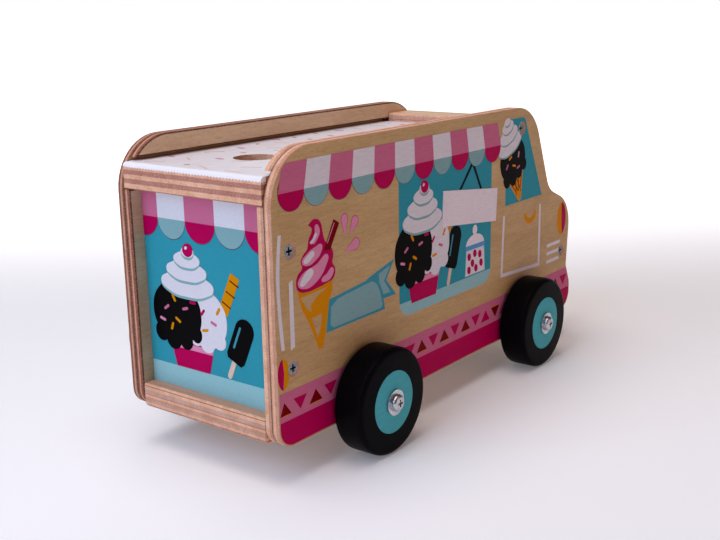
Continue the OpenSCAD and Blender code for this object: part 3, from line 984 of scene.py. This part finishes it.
def windscreenShapes(halfWide, halfTall):
    f = frontSet
    wide, tall, r = halfWide - f["glassEdge"], halfTall - f["glassEdge"], f["glassRadius"]
    corners = ((1, 1, 0), (-1, 1, 90), (-1, -1, 180), (1, -1, 270))
    glass = [point for x, z, start in corners
             for point in arc(x * (wide - r), z * (tall - r), r, start, start + 90)]
    glints = [sharp([(x, tall - 3), (x + width, tall - 3), (x + width - 12, 3 - tall), (x - 12, 3 - tall)])
              for x, width in ((-8, 7), (3, 3))]
    return [([sharp(glass)], "teal", 1)] + [([glint], "paleTeal", 2) for glint in glints]


def noseShapes(halfWide, halfTall, foot):
    # foot is the height of the board's middle above the floor
    f = frontSet
    wide = halfWide - 0.3
    top, change = skirt["top"] - foot, skirt["change"] - foot
    band = [(-wide, -halfTall), (wide, -halfTall), (wide, top), (-wide, top)]
    shapes = [([sharp(band)], "mauvePink", 1)]
    if change > 0.5 - halfTall:
        shapes.append(([sharp(band[:2] + [(wide, change), (-wide, change)])], "magenta", 2))
    bars = [halfTall - drop for drop in f["barDrop"]]
    shapes += [([pill((-f["barWidth"] / 2, z), (f["barWidth"] / 2, z), 2)], "white", 1) for z in bars]
    for x in (-f["lampAside"], f["lampAside"]):
        z = halfTall - f["lampDrop"]
        shapes += [([oval(x, z, f["lampSize"], f["lampSize"])], "orange", 1),
                   ([oval(x, z, f["lampSize"] * 0.6, f["lampSize"] * 0.6)], "magenta", 2)]
    return shapes


def makeFrontArt():
    across = Vector((0, 1, 0))
    for node in ("windscreen_board", "front_board"):
        bm = cadCopy(node)
        face = max((face for face in bm.faces if face.normal.x > 0.3), key=lambda face: face.calc_area())
        up = face.normal.cross(across)
        reaches = [vert.co.dot(up) for vert in face.verts]
        halfWide = max(vert.co.y for vert in face.verts) / mm
        halfTall = (max(reaches) - min(reaches)) / 2 / mm
        middle = face.calc_center_bounds()
        place = facePlace(middle, across, up)
        bm.free()
        shapes = (windscreenShapes(halfWide, halfTall) if node == "windscreen_board"
                  else noseShapes(halfWide, halfTall, middle.z / mm))
        layInk(node + "_print", place, shapes)


makeFrontArt()
print("front prints made")


sprinkles = {
    "seed": 11, "count": 62, "apart": 12.0, "edge": 5.0, "lean": 40, "tries": 4000,
    "hole": (-92.0, 0.0, 12.0),  # mm: the finger hole's place, and how far sprinkles stay from it
    # colour: chance, length and width in mm
    "kinds": {"candyPink": (0.25, 5.5, 2.3), "honey": (0.25, 2.8, 1.8), "beige": (0.5, 9.5, 0.9)},
}


def makeSprinkles():
    draw = random.Random(sprinkles["seed"])
    holeX, holeY, clear = sprinkles["hole"]
    spots, shapes = [], []
    for attempt in range(sprinkles["tries"]):
        x = draw.uniform(lidLow.x / mm + sprinkles["edge"], lidHigh.x / mm - sprinkles["edge"])
        y = draw.uniform(lidLow.y / mm + sprinkles["edge"], lidHigh.y / mm - sprinkles["edge"])
        near = any(math.hypot(x - a, y - b) < sprinkles["apart"] for a, b in spots)
        if near or math.hypot(x - holeX, y - holeY) < clear or len(spots) >= sprinkles["count"]:
            continue
        spots.append((x, y))
        pick = draw.random()
        for colour, (chance, length, width) in sprinkles["kinds"].items():
            if pick < chance:
                break
            pick -= chance
        turn = math.radians(draw.uniform(-sprinkles["lean"], sprinkles["lean"]) + 90)
        reach = (length - width) / 2
        start = (x - reach * math.cos(turn), y - reach * math.sin(turn))
        end = (x + reach * math.cos(turn), y + reach * math.sin(turn))
        shapes.append(([pill(start, end, width)], colour, 1))
    place = facePlace((0, 0, lidHigh.z), (1, 0, 0), (0, 1, 0))
    layInk("lid_sprinkles", place, shapes, "roof_slide")


makeSprinkles()
print("lid sprinkles made")


# wheels and screws

wheelSet = {
    "bore": 2.08, "outerRound": 2.4, "innerRound": 1.5, "steps": 96,  # mm, mm, mm, steps
    "discRadius": 14.5, "discHeight": 0.06,
}


def spun(points, side, x, y, z, steps):
    # turns a profile of (radius, outward) millimetres about an axle that runs along y
    bm = bmesh.new()
    verts = [bm.verts.new((radius * mm, 0, out * mm)) for radius, out in points]
    edges = [bm.edges.new((verts[i], verts[(i + 1) % len(verts)])) for i in range(len(verts))]
    bmesh.ops.spin(bm, geom=verts + edges, cent=(0, 0, 0), axis=(0, 0, 1), angle=math.tau, steps=steps,
                   use_merge=True)
    turn = Matrix.Rotation(math.radians(-90), 4, "X")
    if side < 0:
        turn = Matrix.Scale(-1, 4, (0, 1, 0)) @ turn
    bmesh.ops.transform(bm, matrix=Matrix.Translation((x, y, z)) @ turn, verts=bm.verts)
    bmesh.ops.remove_doubles(bm, verts=bm.verts, dist=0.001 * mm)
    bmesh.ops.recalc_face_normals(bm, faces=bm.faces)
    return bm


def makeWheel(node, side):
    low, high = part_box(node)
    radius = (high.z - low.z) / 2 / mm
    width = (high.y - low.y) / mm
    x, z = (low.x + high.x) / 2, (low.z + high.z) / 2
    start = (high.y if side < 0 else low.y)
    w = wheelSet
    tread = arc(radius - w["innerRound"], w["innerRound"], w["innerRound"], -90, 0, 5)
    tread += arc(radius - w["outerRound"], width - w["outerRound"], w["outerRound"], 0, 90, 7)
    points = [(w["bore"], 0)] + tread + [(w["bore"], width)]
    wheel = finish(node + "_wood", spun(points, side, x, start, z, w["steps"]), [wheelPaint],
                   node + "_body")
    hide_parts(node)
    eye, rim, back, face = w["bore"] + 0.4, w["discRadius"], width - ink["sunk"], width + w["discHeight"]
    disc = [(eye, back), (rim, back), (rim, width + w["discHeight"] * 0.6), (rim - 0.1, face), (eye, face)]
    finish(node + "_disc", spun(disc, side, x, start, z, w["steps"]), [inks["discTeal"]],
           node + "_body")


def dressCad(node, material):
    cad[node].data.materials.clear()
    cad[node].data.materials.append(material)


for end in ("rear_", "front_"):
    for side, out in sides.items():
        makeWheel(end + side + "_wheel", out)
        dressCad(end + side + "_wheel_screw", screwZinc)
        dressCad(end + side + "_washers", washerZinc)
for side in sides:
    dressCad(side + "_panel_screws", sunkZinc)
dressCad("windscreen_board", birchAcross)
dressCad("bonnet_board", birchAcross)
print("wheels and screws made")
